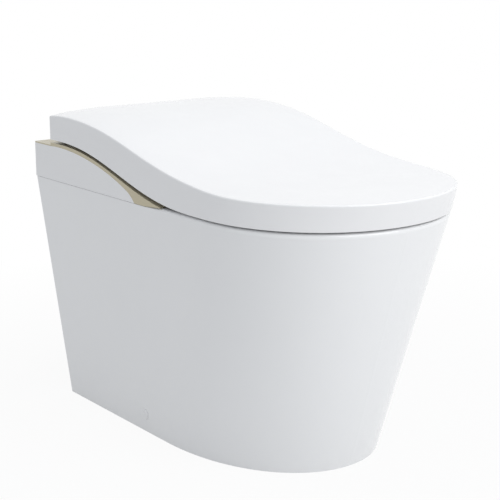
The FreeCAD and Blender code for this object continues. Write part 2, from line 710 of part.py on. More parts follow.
def make_deck():
    deck = rounded(deck_plate().cut(basin_hollow()), RIM_ROUND, bowl_edge)
    well = block(*WELL_X, *WELL_Y, RIM_Z - 2 * DECK_THICK, RIM_Z + DECK_THICK)
    for hole in both_sides(rounded(well, WELL_ROUND, is_upright)):
        deck = deck.cut(hole)
    keep("deck_ceramic", deck)


def make_bowl():
    """The bowl below the deck, its sump and the trapway behind them, joined before they are fired."""
    full = basin_solid(BASIN_WALL).common(block(-FAR, FAR, -FAR, FAR, 0.0, RIM_Z - DECK_THICK))
    jet_y, jet_z = JET_PORT
    rim_x, rim_z = RIM_PORT
    boss_r = PORT_R + PORT_BOSS_WALL
    bosses = [rod(boss_r, (0.0, jet_y, jet_z), (JET_BOSS_X, jet_y, jet_z)),
              rod(boss_r, (rim_x, 0.0, rim_z), (rim_x, RIM_BOSS_Y, rim_z))]
    passages = [rod(PORT_R, (0.0, jet_y, jet_z), (JET_BOSS_X + OVER, jet_y, jet_z)),
                rod(PORT_R, (rim_x, 0.0, rim_z), (rim_x, RIM_BOSS_Y + OVER, rim_z)),
                pipe(trap_points(HORN_Z - OVER), TRAP_BEND_R, TRAP_BORE_R)]
    bowl = full.fuse(bosses).cut(basin_hollow())
    for passage in passages:
        bowl = bowl.cut(passage)
    keep("bowl_ceramic", bowl.common(block(-FAR, FAR, -FAR, FAR, SUMP_Z, FAR)))
    keep("sump_ceramic", bowl.common(block(-FAR, FAR, -FAR, FAR, 0.0, SUMP_Z)))
    trapway = pipe(trap_points(HORN_Z), TRAP_BEND_R, TRAP_BORE_R + TRAP_WALL)
    keep("trapway_ceramic", trapway.cut(full).cut(passages[-1]))


# ================================================================ lid
def lid_solid(inset, drop):
    """The lid's block, with its sides moved in by inset and its top down by drop."""
    return lid_plan(inset).common(below_lid_top(drop))


def hinge_rod(radius, x0, x1):
    return rod(radius, (x0, HINGE_Y, HINGE_Z), (x1, HINGE_Y, HINGE_Z))


def lid_ear():
    """One of the lid's two ears, on +X."""
    x0, x1 = LID_EAR
    before, behind = LID_WEB
    web = block(x0, x1, HINGE_Y - before, HINGE_Y + behind, HINGE_Z, LID_BACK_Z - LID_WEB_SINK)
    bore = hinge_rod(HINGE_PIN_R + HINGE_RUN, x0 - OVER, x1 + OVER)
    return hinge_rod(KNUCKLE_R, x0, x1).fuse(web).cut(bore)


def up_top(edge):
    """True for the edges of a lid or seat block's top face."""
    return all(vertex.Z > TOP_EDGES_Z for vertex in edge.Vertexes)


def make_lid():
    outer = rounded(lid_solid(0.0, 0.0), LID_EDGE_ROUND, up_top).cut(below_lid_low())
    shell = outer.cut(lid_solid(LID_WALL, LID_WALL))
    half = LID_NOTCH_HALF
    shell = shell.cut(block(-half, half, LID_BACK_Y - LID_WALL - OVER, FAR, 0.0, LID_NOTCH_Z))
    for ear in both_sides(lid_ear()):
        shell = shell.fuse(ear)
    keep("lid_shell", shell)
    liner_top = LID_WALL + LINER_DROP
    below_liner = below_lid_top(liner_top + LINER_THICK)
    liner = lid_solid(LID_WALL + LINER_FIT, liner_top).cut(below_liner)
    keep("lid_liner", liner.common(block(-FAR, FAR, -FAR, LINER_BACK, 0.0, FAR)))
    posts = []
    for x, y in LID_BUFFERS:
        post = upright_rod(LID_BUFFER_R, x, y, TOP_EDGES_Z, FAR)
        posts += both_sides(post.common(below_liner).cut(below_lid_top(SEAT_TOP_DROP - LID_BUFFER_GAP)))
    keep("lid_buffers", *posts)


# ================================================================ seat
def seat_solid(inset, drop):
    """The seat's block: its outline from above, under the lid's top, round the opening and the unit."""
    up = V(0, 0, FAR)
    wire = plan_wire(SEAT_HALF - inset, SEAT_ARM_END - inset, SEAT_TURN, SEAT_FRONT + inset, RIM_Z)
    hole = egg_wire(SEAT_OPEN_HALF + inset, SEAT_OPEN_FRONT - inset, SEAT_OPEN_BACK + inset, RIM_Z)
    body = Part.Face(wire).extrude(up).cut(Part.Face(hole).extrude(up))
    half = SEAT_NOTCH_HALF + inset
    body = body.cut(block(-half, half, SEAT_NOTCH_Y - inset, FAR, 0.0, FAR))
    return body.common(below_lid_top(drop))


def seat_knuckle():
    """The seat's knuckle on +X and the web that joins it to the arm."""
    x0, x1 = SEAT_KNUCKLE
    below, above = SEAT_WEB
    web = block(x0, x1, SEAT_ARM_END - SEAT_SKIN, HINGE_Y, HINGE_Z - below, HINGE_Z + above)
    return hinge_rod(KNUCKLE_R, x0, x1).fuse(web)


def make_seat():
    lift = SEAT_LIFT - (LID_LOW_Z - RIM_Z)
    skin_drop = SEAT_TOP_DROP + SEAT_SKIN
    outer = rounded(seat_solid(0.0, SEAT_TOP_DROP), SEAT_ROUND, up_top).cut(below_lid_low(lift))
    inner = rounded(seat_solid(SEAT_SKIN, skin_drop), SEAT_ROUND - SEAT_SKIN, up_top)
    shell = outer.cut(inner)
    for knuckle in both_sides(seat_knuckle()):
        shell = shell.fuse(knuckle)
    bore = hinge_rod(HINGE_PIN_R + HINGE_RUN, SEAT_KNUCKLE[0] - OVER, SEAT_KNUCKLE[1] + OVER)
    for hole in both_sides(bore):
        shell = shell.cut(hole)
    keep("seat_top", shell)
    inside = seat_solid(SEAT_SKIN + SEAT_FLOOR_FIT, skin_drop)
    keep("seat_base", inside.cut(below_lid_low(lift)).common(below_lid_low(lift + SEAT_FLOOR)))
    film = seat_solid(SEAT_SKIN + HEATER_INSET, skin_drop).cut(below_lid_top(skin_drop + HEATER_THICK))
    keep("seat_heater", film.common(block(-FAR, FAR, -FAR, SEAT_NOTCH_Y - HEATER_NOTCH_GAP, 0.0, FAR)))
    feet = []
    long, wide = SEAT_BUFFER_SIZE[0] / 2, SEAT_BUFFER_SIZE[1] / 2
    for x, y in SEAT_BUFFERS:
        foot = block(x - wide, x + wide, y - long, y + long, RIM_Z + SEAT_BUFFER_GAP, FAR)
        feet += both_sides(foot.common(below_lid_low(lift)))
    keep("seat_buffers", *feet)


# ================================================================ the wash unit's covers
def sweep_at(x, points):
    return bezier(*[(x, y, z) for y, z in points])


def under_cover():
    """Everything under the side cover's upper edge, behind its tip."""
    x = -LID_WIDTH / 2 - OVER
    back, z = BACK_Y + OVER, COVER_SWEEP[0][1]
    wire = Part.Wire([
        line((x, back, z), (x, LEDGE_FRONT, z)),
        sweep_at(x, COVER_SWEEP),
        sweep_at(x, COVER_TIP),
        line((x, COVER_TIP[-1][0], SEAM_Z), (x, back, SEAM_Z)),
        line((x, back, SEAM_Z), (x, back, z)),
    ])
    return Part.Face(wire).extrude(V(-2 * x, 0, 0))


def cartridge_hole(x0, x1):
    """The opening for the cartridge's front, with a gap round it."""
    y0, y1, z0, z1 = CARTRIDGE_FRONT
    gap = CARTRIDGE_GAP
    return block(x0, x1, y0 - gap, y1 + gap, z0 - gap, z1 + gap)


def make_side_covers():
    solid = rounded(block(-COVER_HALF, COVER_HALF, 0.0, BACK_Y, RIM_Z, FAR), COVER_ROUND, at_wall_corner)
    hollow = block(PANEL - COVER_HALF, COVER_HALF - PANEL, -OVER, BACK_Y - PANEL, 0.0, 2 * FAR)
    shell = solid.cut(hollow).common(under_cover())
    keep("side_cover_right", shell.common(block(-FAR, -COVER_BACK_X, -FAR, FAR, 0.0, FAR)))
    left = shell.common(block(COVER_BACK_X, FAR, -FAR, FAR, 0.0, FAR)).cut(cartridge_hole(SHELF_HALF, FAR))
    y, z = BUTTON
    keep("side_cover_left", left.cut(rod(BUTTON_R + BUTTON_RUN, (SHELF_HALF, y, z), (FAR, y, z))))
    half = COVER_BACK_X - PANEL_JOIN
    panel = block(-half, half, BACK_Y - PANEL, BACK_Y - PANEL_INSET, SEAM_Z, COVER_SWEEP[0][1])
    for i in range(VENT_COUNT):
        x = VENT_X + i * VENT_PITCH
        panel = panel.cut(block(x, x + VENT_WIDTH, 0.0, FAR, *VENT_Z))
    keep("back_cover", panel)


def at_wall_corner(edge):
    """True for the upright edges on the wall side."""
    return is_upright(edge) and edge.CenterOfMass.y > BACK_Y / 2


def make_trims():
    """The metal bands under the lid's sides: an upright facet, then one that leans in and up to the lid."""
    x = COVER_HALF - TRIM_INSET
    profiles = []
    for place, (front_drop, back_drop) in ((x - TRIM_DEPTH, TRIM_INNER_DROP), (x, TRIM_CREASE_DROP)):
        profiles.append(under(lid_low_edge(place, -front_drop, -back_drop), place))
    left = Part.makeLoft(profiles, True, True)
    left = left.common(block(0.0, FAR, TRIM_TIP_Y, LEDGE_FRONT, RIM_Z, FAR))
    left = left.cut(under_cover()).cut(under_lip(SEAM_GAP))
    for name, trim in zip(("side_trim_left", "side_trim_right"), both_sides(left)):
        keep(name, trim)
    low = LEDGE_Z - LEDGE_THICK + LEDGE_SEAT
    ledge = block(-x, x, LEDGE_FRONT + LEDGE_JOIN, BACK_Y - PANEL_INSET, low, LEDGE_Z)
    keep("ledge_plate", rounded(ledge, COVER_ROUND, at_ledge_back))


def at_ledge_back(edge):
    return is_upright(edge) and edge.CenterOfMass.y > (LEDGE_FRONT + BACK_Y) / 2


def at_nozzle(shape):
    """Places a shape drawn along the nozzle: +Y runs back from the mouth and +Z stands off its axis."""
    placed = shape.copy()
    placed.rotate(V(0, 0, 0), X_AXIS, NOZZLE_TILT)
    placed.translate(V(0, *NOZZLE_MOUTH))
    return placed


def hood(inset):
    front, half, top = HOOD_FRONT + inset, HOOD_HALF - inset, HOOD_TOP - inset * HOOD_TOP_THIN
    body = at_nozzle(block(-half, half, front, NOZZLE_LENGTH, -NOZZLE_LENGTH, top))
    return body.common(block(-FAR, FAR, 0.0, HUMP_FRONT + HOOD_REACH, UNIT_Z - inset, FAR))


def hump(inset):
    half = HUMP_HALF - inset
    body = block(-half, half, HUMP_FRONT + inset, HUMP_BACK - inset, UNIT_Z - inset, FAR)
    return body.common(below_lid_top(HUMP_DROP + inset))


def shelf(inset):
    half = SHELF_HALF - inset
    body = block(-half, half, SHELF_FRONT + inset, LEDGE_FRONT + inset, UNIT_Z - inset, FAR)
    return body.common(below_lid_low(-SHELF_DROP - inset))


def saddle(inset):
    """The block that carries the hinge barrel."""
    half = HUMP_HALF - inset
    into, behind = SADDLE
    return block(-half, half, HUMP_BACK - into - inset, HINGE_Y + behind - inset, SADDLE_Z, HINGE_Z - inset)


def make_top_cover():
    barrel = hinge_rod(BARREL_R, -BARREL_HALF, BARREL_HALF)
    outer = shelf(0.0).fuse([hump(0.0), hood(0.0), saddle(0.0), barrel])
    room = BARREL_HALF - COVER_WALL
    inner = shelf(COVER_WALL).fuse([hump(COVER_WALL), hood(COVER_WALL), saddle(COVER_WALL)])
    cover = outer.cut(inner.fuse(hinge_rod(MOTOR_R + MOTOR_FIT, -room, room)))
    cover = cover.cut(hinge_rod(HINGE_PIN_R + PIN_HOLE_RUN, -BARREL_HALF - OVER, BARREL_HALF + OVER))
    cover = cover.cut(at_nozzle(rod(SHIELD_R + SHIELD_RUN, (0, -MOUTH_REACH, 0), (0, MOUTH_REACH, 0))))
    x0, x1, _, _, z0, z1 = DUCT
    fit = DUCT_FIT
    back = HUMP_FRONT + HOOD_REACH
    cover = cover.cut(block(x0 - fit, x1 + fit, SHELF_FRONT - OVER, back, z0 - fit, z1 + fit))
    cover = cover.cut(lens_block(0.0, -OVER, COVER_WALL + OVER))
    cover = cover.cut(cartridge_hole(SHELF_HALF - COVER_WALL - OVER, SHELF_HALF + OVER))
    keep("unit_top_cover", cover)
    lens = lens_block(-LENS_FIT, LENS_INSET, LENS_DEPTH)
    keep("night_light", lens.fuse(lens_block(LENS_FLANGE, COVER_WALL + LENS_SEAT, LENS_DEPTH)))


def lens_block(margin, start, end):
    """The night light's window grown by margin, as a block from start to end behind the shelf's front."""
    x, z = LENS_AT
    half, high = LENS_HALF[0] + margin, LENS_HALF[1] + margin
    return block(x - half, x + half, SHELF_FRONT + start, SHELF_FRONT + end, z - high, z + high)


def make_base():
    y0, y1 = SHELF_FRONT + GASKET_PROUD, TRAY_Y[1]
    half = TRAY_HALF + GASKET_PROUD
    sides, front, back = GASKET_RIM
    ring = block(-half, half, y0, y1, RIM_Z, UNIT_Z)
    keep("unit_gasket", ring.cut(block(sides - half, half - sides, y0 + front, y1 - back, 0.0, FAR)))
    top = UNIT_Z + TRAY_THICK
    tray = block(-TRAY_HALF, TRAY_HALF, *TRAY_Y, UNIT_Z, top)
    for x, y, radius in TRAY_HOLES:
        tray = tray.cut(upright_rod(radius, x, y, UNIT_Z - OVER, top + OVER))
    wide = GUIDE_R + TRAY_SLOT_GAP
    tray = tray.cut(at_nozzle(block(-wide, wide, -MOUTH_REACH, TRAY_SLOT_END, -wide, 0)))
    post_r, post_h = TRAY_POST
    screw_top = top + post_h
    head_r, head_h = TRAY_SCREW_HEAD
    long, wide, deep = TRAY_SCREW_SLOT
    screws = []
    for x, y in TRAY_SCREWS:
        for post in both_sides(upright_rod(post_r, x, y, UNIT_Z, screw_top)):
            tray = tray.fuse(post)
        bore = upright_rod(TRAY_SCREW_R, x, y, screw_top - TRAY_SCREW_HOLE, screw_top + OVER)
        for hole in both_sides(bore):
            tray = tray.cut(hole)
        screw = upright_rod(TRAY_SCREW_R, x, y, screw_top - TRAY_SCREW_LENGTH, screw_top)
        screw = screw.fuse(upright_rod(head_r, x, y, screw_top, screw_top + head_h))
        slot = block(x - long / 2, x + long / 2, y - wide / 2, y + wide / 2, screw_top + head_h - deep, FAR)
        screws += both_sides(screw.cut(slot))
    keep("unit_base", tray)
    keep("tray_screws", *screws)


# ================================================================ hinge
def make_hinge():
    x0, x1 = MOTOR_X
    neck_r, neck = MOTOR_NECK
    motor = hinge_rod(MOTOR_R, x0, x1).cut(hinge_rod(HINGE_PIN_R, PIN_X[0], x1 + OVER))
    motor = motor.fuse(hinge_rod(neck_r, x0 - neck, x0))
    keep("hinge_motors", *both_sides(motor))
    keep("hinge_pins", *both_sides(hinge_rod(HINGE_PIN_R, PIN_X[0] + PIN_END_GAP, PIN_X[1])))


# ================================================================ nozzle, rack and pinion
def involute(angle):
    return math.tan(angle) - angle


def tooth_half_angle(radius):
    """Half the angle an involute tooth takes up at a radius."""
    base = PINION_R * math.cos(PRESSURE_ANGLE)
    at_pitch = (math.pi * GEAR_MODULE - BACKLASH) / (4 * PINION_R)
    return at_pitch + involute(PRESSURE_ANGLE) - involute(math.acos(min(1.0, base / radius)))


def polar(radius, angle):
    return V(0, radius * math.sin(angle), radius * math.cos(angle))


def flank(radii, middle, side):
    """One interpolated curve along an involute flank, on the given side (-1 or 1) of a tooth's middle."""
    curve = Part.BSplineCurve()
    curve.interpolate([polar(r, middle + side * tooth_half_angle(r)) for r in radii])
    return curve.toShape()


def tooth_edges(middle, step):
    """A tooth's outline and the root that follows it, from one space's middle line to the next."""
    base = PINION_R * math.cos(PRESSURE_ANGLE) + FLANK_START
    tip = PINION_R + RACK_ADDENDUM
    root = PINION_R - PINION_DEDENDUM
    radii = [base + (tip - base) * i / FLANK_SPANS for i in range(FLANK_SPANS + 1)]
    low, high = tooth_half_angle(base), tooth_half_angle(tip)
    after, gap = middle + low, middle + step / 2
    return [
        Part.makeLine(polar(root, middle - low), polar(base, middle - low)),
        flank(radii, middle, -1),
        Part.Arc(polar(tip, middle - high), polar(tip, middle), polar(tip, middle + high)).toShape(),
        flank(radii[::-1], middle, 1),
        Part.makeLine(polar(base, after), polar(root, after)),
        Part.Arc(polar(root, after), polar(root, gap), polar(root, middle + step - low)).toShape(),
    ]


def spindle_up():
    """The pinion's axis above the nozzle's."""
    return RACK_PITCH_UP + PINION_R


def make_pinion():
    step = 2 * math.pi / PINION_TEETH
    edges = []
    for i in range(PINION_TEETH):
        edges += tooth_edges(i * step, step)
    wheel = Part.Face(Part.Wire(edges)).extrude(V(PINION_WIDTH, 0, 0))
    wheel.translate(V(-PINION_WIDTH / 2, 0, 0))
    wheel.rotate(V(0, 0, 0), X_AXIS, math.degrees(step / 2))
    wheel = wheel.fuse(rod(SHAFT_R, (-CHEEK[1], 0, 0), (SHAFT_END, 0, 0)))
    wheel.translate(V(0, PINION_AT, spindle_up()))
    keep("nozzle_pinion", at_nozzle(wheel))


def rack_space(y):
    """The space between two rack teeth, centred on y."""
    lean = math.tan(PRESSURE_ANGLE)
    middle = (math.pi * GEAR_MODULE + BACKLASH) / 4
    low, high = -RACK_DEDENDUM, RACK_ADDENDUM + OVER
    narrow, wide = middle + low * lean, middle + high * lean
    outline = [(-narrow, low), (narrow, low), (wide, high), (-wide, high)]
    space = prism_across(outline, PINION_WIDTH / 2 + RACK_SIDE_RUN)
    space.translate(V(0, y, RACK_PITCH_UP))
    return space


def make_nozzle():
    pitch = math.pi * GEAR_MODULE
    start = PINION_AT - PINION_R
    end = PINION_AT + NOZZLE_TRAVEL + PINION_R
    half = PINION_WIDTH / 2 + RACK_SIDE_RUN
    arm = rod(NOZZLE_R, (0, TIP_LENGTH, 0), (0, NOZZLE_LENGTH, 0))
    arm = arm.cut(block(-half, half, start, end, RACK_PITCH_UP + RACK_ADDENDUM, NOZZLE_R + OVER))
    count = RACK_LEAD + math.ceil((NOZZLE_TRAVEL + PINION_R) / pitch)
    spaces = [rack_space(PINION_AT + (i - RACK_LEAD + RACK_PHASE) * pitch) for i in range(count)]
    arm = arm.cut(Part.makeCompound(spaces))
    arm = arm.cut(rod(NOZZLE_BORE_R, (0, TIP_LENGTH - OVER, 0), (0, NOZZLE_LENGTH + OVER, 0)))
    keep("nozzle_arm", at_nozzle(arm))
    front = HOOD_FRONT - TIP_PROUD
    tip = rod(NOZZLE_R, (0, front, 0), (0, TIP_LENGTH, 0))
    tip = tip.fuse(rod(SHIELD_R, (0, front - SHIELD_THICK, 0), (0, front, 0)))
    tip = tip.cut(rod(NOZZLE_BORE_R, (0, SPRAY_END, 0), (0, TIP_LENGTH + OVER, 0)))
    for x in SPRAY_X:
        tip = tip.cut(rod(SPRAY_R, (x, SPRAY_AT, 0), (x, SPRAY_AT, NOZZLE_R + OVER)))
    keep("nozzle_tip", at_nozzle(tip))


def guide_tube():
    """The tube that the nozzle runs in, slotted for the pinion and open above behind it."""
    back = NOZZLE_LENGTH + GUIDE_PAST
    slot_half, slot_before = GUIDE_SLOT
    open_from, open_above = GUIDE_OPEN
    guide = rod(GUIDE_R, (0, HOOD_FRONT + COVER_WALL + GUIDE_FRONT_GAP, 0), (0, back, 0))
    guide = guide.cut(rod(NOZZLE_R + NOZZLE_RUN, (0, -MOUTH_REACH, 0), (0, back + OVER, 0)))
    guide = guide.cut(block(-slot_half, slot_half, PINION_AT - slot_before, back + OVER, 0, FAR))
    return guide.cut(block(-FAR, FAR, PINION_AT + open_from, back + OVER, open_above, FAR))


def make_guide():
    back = NOZZLE_LENGTH + GUIDE_PAST
    up = spindle_up()
    before, behind = PINION_AT - CHEEK_HALF, PINION_AT + CHEEK_HALF
    cheek = block(*CHEEK, before, behind, NOZZLE_R - CHEEK_SINK, up + CHEEK_RISE)
    cheek = cheek.cut(rod(NOZZLE_R + NOZZLE_RUN, (0, 0, 0), (0, back, 0)))
    guide = guide_tube().fuse(both_sides(cheek))
    radius, length = DRIVE_MOTOR
    motor = rod(radius, (CHEEK[1], PINION_AT, up), (CHEEK[1] + length, PINION_AT, up))
    bearing = SHAFT_R + SHAFT_RUN
    guide = guide.cut(rod(bearing, (-SHAFT_END, PINION_AT, up), (SHAFT_END, PINION_AT, up)))
    guide = at_nozzle(guide.cut(motor))
    clear = at_nozzle(rod(GUIDE_R - GUIDE_LEG_SINK, (0, -MOUTH_REACH, 0), (0, back + OVER, 0)))
    half, long = GUIDE_LEG
    for y in GUIDE_LEGS_Y:
        z = NOZZLE_MOUTH[1] + (y - NOZZLE_MOUTH[0]) * math.tan(math.radians(NOZZLE_TILT))
        leg = block(-half, half, y - long, y + long, UNIT_Z + TRAY_THICK, z)
        guide = guide.fuse(leg.cut(clear))
    keep("nozzle_guide", guide)
    socket = rod(bearing, (0, PINION_AT, up), (SHAFT_END + SHAFT_END_GAP, PINION_AT, up))
    keep("nozzle_motor", at_nozzle(motor.cut(socket)))


# ================================================================ inside the unit
def fan_blade(angle, low, high):
    blade = block(FAN_BEARING_R, FAN_R, -BLADE_THICK / 2, BLADE_THICK / 2, low, high)
    blade.rotate(V(0, 0, 0), Z_AXIS, angle)
    return blade


def make_dryer():
    x, y = FAN_AT
    tray = UNIT_Z + TRAY_THICK
    wall = DUCT_WALL
    x0, x1, y0, y1, z0, z1 = DUCT
    outer = upright_rod(FAN_HOUSE_R, x, y, tray, FAN_TOP).fuse(block(x0, x1, y1, y, z0, z1))
    inner = upright_rod(FAN_HOUSE_R - wall, x, y, tray + wall, FAN_TOP - wall)
    inner = inner.fuse(block(x0 + wall, x1 - wall, y1 - OVER, y, z0 + wall, z1 - wall))
    housing = outer.cut(inner).cut(upright_rod(FAN_INLET_R, x, y, FAN_TOP - wall - OVER, FAN_TOP + OVER))
    housing = housing.fuse(upright_rod(FAN_BEARING_R, x, y, tray, tray + FAN_BEARING))
    bore = upright_rod(SHAFT_R + SHAFT_RUN, x, y, tray + FAN_BORE_END, tray + FAN_BEARING + OVER)
    keep("dryer_housing", housing.cut(bore))
    disc_low, disc_high = tray + FAN_DISC[0], tray + FAN_DISC[1]
    blade_top = FAN_TOP - BLADE_DROP
    fan = upright_rod(FAN_R, 0, 0, disc_low, disc_high)
    fan = fan.fuse(upright_rod(FAN_HUB_R, 0, 0, disc_low, FAN_TOP - FAN_HUB_DROP))
    fan = fan.fuse([fan_blade(i * 360 / BLADE_COUNT, disc_low, blade_top) for i in range(BLADE_COUNT)])
    fan = fan.fuse(upright_rod(SHAFT_R, 0, 0, tray + FAN_SHAFT_END, disc_high))
    fan.translate(V(x, y, 0))
    keep("dryer_impeller", fan)
    duct = block(x0, x1, y0, y1, z0, z1)
    keep("dryer_duct", duct.cut(block(x0 + wall, x1 - wall, 0.0, FAR, z0 + wall, z1 - wall)))


def make_deodoriser():
    y0, y1, z0, z1 = CARTRIDGE_FRONT
    x0, x1 = CARTRIDGE_X
    run, wall = CARTRIDGE_RUN, CARTRIDGE_WALL
    side = SHELF_HALF - COVER_WALL - run
    house = block(x0 - CARTRIDGE_STOP, side, y0 - wall, y1 + wall, UNIT_Z + TRAY_THICK, z1 + wall)
    keep("deodoriser_housing", house.cut(block(x0, FAR, y0 - run, y1 + run, z0 - run, z1 + run)))
    body = block(x0 + run, x1, y0, y1, z0, z1)
    end, first, floor = FILTER_MARGIN
    for i in range(FILTER_COUNT):
        y = y0 + first + i * FILTER_PITCH
        body = body.cut(block(x0 + end, SHELF_HALF - FILTER_END, y, y + FILTER_WIDTH, z0 + floor, FAR))
    grip = upright_rod(GRIP_R, x1 + GRIP_OUT, (y0 + y1) / 2, z0 - OVER, z1 + OVER)
    keep("deodoriser_cartridge", body.cut(grip))


def make_button():
    y, z = BUTTON
    inner = SHELF_HALF + BUTTON_INNER
    wider, thick = BUTTON_FLANGE
    cap = rod(BUTTON_R, (inner, y, z), (COVER_HALF + BUTTON_PROUD, y, z))
    keep("power_button", cap.fuse(rod(BUTTON_R + wider, (inner, y, z), (inner + thick, y, z))))


def make_heater_and_pump():
    tray = UNIT_Z + TRAY_THICK
    x0, x1, y0, y1 = HEATER_BOX
    mid = (x0 + x1) / 2
    cap_r, cap_h = HEATER_CAP
    tank = rounded(block(x0, x1, y0, y1, tray, HEATER_TOP), HEATER_ROUND, is_upright)
    keep("water_heater", tank.fuse(upright_rod(cap_r, mid, (y0 + y1) / 2, tray, HEATER_TOP + cap_h)))
    py0, py1 = PUMP_Y
    z = tray + PUMP_UP
    half, long, above = PUMP_HEAD
    pump = rod(PUMP_R, (mid, py0, z), (mid, py1, z))
    keep("water_pump", pump.fuse(block(mid - half, mid + half, py0, py0 + long, tray, z + above)))
    vx, vy = VALVE_AT
    level = tray + PIPE_UP
    way = [(vx + VALVE_HALF, vy, level), (mid, vy, level), (mid, py1, level)]
    keep("water_pipes", pipe(way, PIPE_BEND, PIPE_R), rod(PIPE_R, (mid, y1, level), (mid, py0, level)))


def make_valve():
    tray = UNIT_Z + TRAY_THICK
    x, y = VALVE_AT
    half, low = VALVE_HALF, INLET_Z
    coil_r, coil_h = VALVE_COIL
    collar_r, collar_h = INLET_COLLAR
    bore_r, bore = INLET_BORE
    thread_end = low + INLET_THREAD
    valve = block(x - half, x + half, y - half, y + half, tray, tray + VALVE_TOP)
    valve = valve.fuse(upright_rod(coil_r, x, y, tray, tray + VALVE_TOP + coil_h))
    valve = valve.fuse(upright_rod(INLET_R, x, y, low, tray + OVER))
    valve = valve.fuse(upright_rod(collar_r, x, y, thread_end, thread_end + collar_h))
    keep("supply_valve", valve.cut(upright_rod(bore_r, x, y, low - OVER, low + bore)))


def make_board():
    tray = UNIT_Z + TRAY_THICK
    x0, x1, y0, y1 = BOARD_BOX
    low, top = tray + BOARD_UP, tray + BOARD_UP + BOARD_THICK
    post_r, in_x, in_y = BOARD_POST
    board = block(x0, x1, y0, y1, low, top)
    for x, y, width, length, height in BOARD_PARTS:
        board = board.fuse(block(x0 + x, x0 + x + width, y0 + y, y0 + y + length, low, top + height))
    for x in (x0 + in_x, x1 - in_x):
        for y in (y0 + in_y, y1 - in_y):
            board = board.fuse(upright_rod(post_r, x, y, tray, low))
    keep("control_board", board)


def make_gland():
    tray = UNIT_Z + TRAY_THICK
    x, y = GLAND_AT
    flange_r, barrel_r, bore_r = GLAND_R
    low, top = RIM_Z - GLAND_LOW, tray + GLAND_TOP
    gland = upright_rod(flange_r, x, y, tray, top).fuse(upright_rod(barrel_r, x, y, low, top))
    gland = gland.fuse(upright_rod(flange_r, x, y, UNIT_Z - GLAND_NUT, UNIT_Z))
    keep("cord_gland", gland.cut(upright_rod(bore_r, x, y, low - OVER, top + OVER)))


# ================================================================ flush works, outlet and floor fixings
def make_flush():
    x0, x1, y0, y1 = TANK_BOX
    mid = (x0 + x1) / 2
    wide, thick = TANK_FLANGE
    tank = rounded(block(x0, x1, y0, y1, TANK_Z, RIM_Z + TANK_PROUD), TANK_ROUND, is_upright)
    keep("flush_tank", tank.fuse(block(x0 - wide, x1 + wide, y0 - wide, y1 + wide, RIM_Z, RIM_Z + thick)))
    y = y0 + JET_PUMP_Y
    radius, length = JET_PUMP
    motor_r, motor = JET_PUMP_MOTOR
    mouth_r, mouth = JET_PUMP_MOUTH
    low, level = TANK_Z - length, TANK_Z - JET_PUMP_MOUTH_Z
    pump = upright_rod(radius, mid, y, low, TANK_Z).fuse(upright_rod(motor_r, mid, y, low - motor, TANK_Z))
    keep("jet_pump", pump.fuse(rod(mouth_r, (mid, y - mouth, level), (mid, y, level))))
    jet_y, jet_z = JET_PORT
    turn = (mid, y - JET_HOSE_TURN, level)
    way = [(mid, y - mouth, level), turn, (mid, jet_y + JET_HOSE_LEAD, jet_z), (mid, jet_y, jet_z)]
    keep("jet_hose", pipe(way + [(JET_BOSS_X, jet_y, jet_z)], JET_HOSE_BEND, JET_HOSE_R))
    rim_x, rim_z = RIM_PORT
    keep("rim_hose", rod(RIM_HOSE_R, (rim_x, RIM_BOSS_Y, rim_z), (rim_x, y0, rim_z)))


def make_outlet():
    """A turned connector that the horn of the trapway hangs down into, and its sealing ring."""
    flange_r, flange_h = OUTLET_FLANGE
    outer, inner, top = OUTLET_SOCKET
    profile = [
        (OUTLET_R, 0.0), (flange_r, 0.0), (flange_r, flange_h), (outer, flange_h + OUTLET_SLOPE),
        (outer, top), (inner, top), (inner, OUTLET_SEAT), (OUTLET_R, OUTLET_SEAT),
    ]
    points = [V(radius, OUTLET_Y, z) for radius, z in profile]
    adapter = Part.Face(Part.makePolygon(points + points[:1])).revolve(V(0, OUTLET_Y, 0), Z_AXIS, 360.0)
    x, radius = OUTLET_SCREW
    for hole in both_sides(upright_rod(radius, x, OUTLET_Y, -OVER, flange_h + OUTLET_SLOPE)):
        adapter = adapter.cut(hole)
    keep("outlet_adapter", adapter)
    z0, z1 = OUTLET_GASKET_Z
    ring = upright_rod(inner, 0, OUTLET_Y, z0, z1)
    keep("outlet_gasket", ring.cut(upright_rod(TRAP_BORE_R + TRAP_WALL, 0, OUTLET_Y, z0, z1)))


def make_fixings():
    """The bracket inside each side of the skirt, the screw that holds the skirt to it, and the cap."""
    edge = FOOT_HALF - SKIRT_WALL - BRACKET_GAP
    y0, y1 = CAP_Y - BRACKET_HALF, CAP_Y + BRACKET_HALF
    bracket = block(edge + BRACKET_GAP - BRACKET_LEG, edge, y0, y1, 0.0, BRACKET_THICK)
    bracket = bracket.fuse(block(edge + BRACKET_GAP - BRACKET_POST, edge, y0, y1, 0.0, BRACKET_TOP))
    bracket = bracket.common(skirt_solid(SKIRT_WALL + BRACKET_FIT, -OVER, RIM_Z))
    bracket = bracket.cut(upright_rod(FLOOR_HOLE_R, FLOOR_HOLE_X, CAP_Y, -OVER, BRACKET_THICK + OVER))
    bracket = bracket.cut(side_fixing(SIDE_SCREW_R, -BRACKET_HOLE, 0.0))
    keep("floor_brackets", *both_sides(bracket))
    plug = side_fixing(CAP_HOLE_R - CAP_FIT, -CAP_PLUG, CAP_THICK)
    keep("side_caps", *both_sides(side_fixing(CAP_R, 0.0, CAP_THICK).fuse(plug)))
    head_r, head_h = SIDE_HEAD
    under_head = SIDE_HEAD_GAP - CAP_HOLE_DEPTH
    screw = side_fixing(SIDE_SCREW_R, under_head - SIDE_SCREW_LENGTH, under_head)
    keep("side_screws", *both_sides(screw.fuse(side_fixing(head_r, under_head, under_head + head_h))))


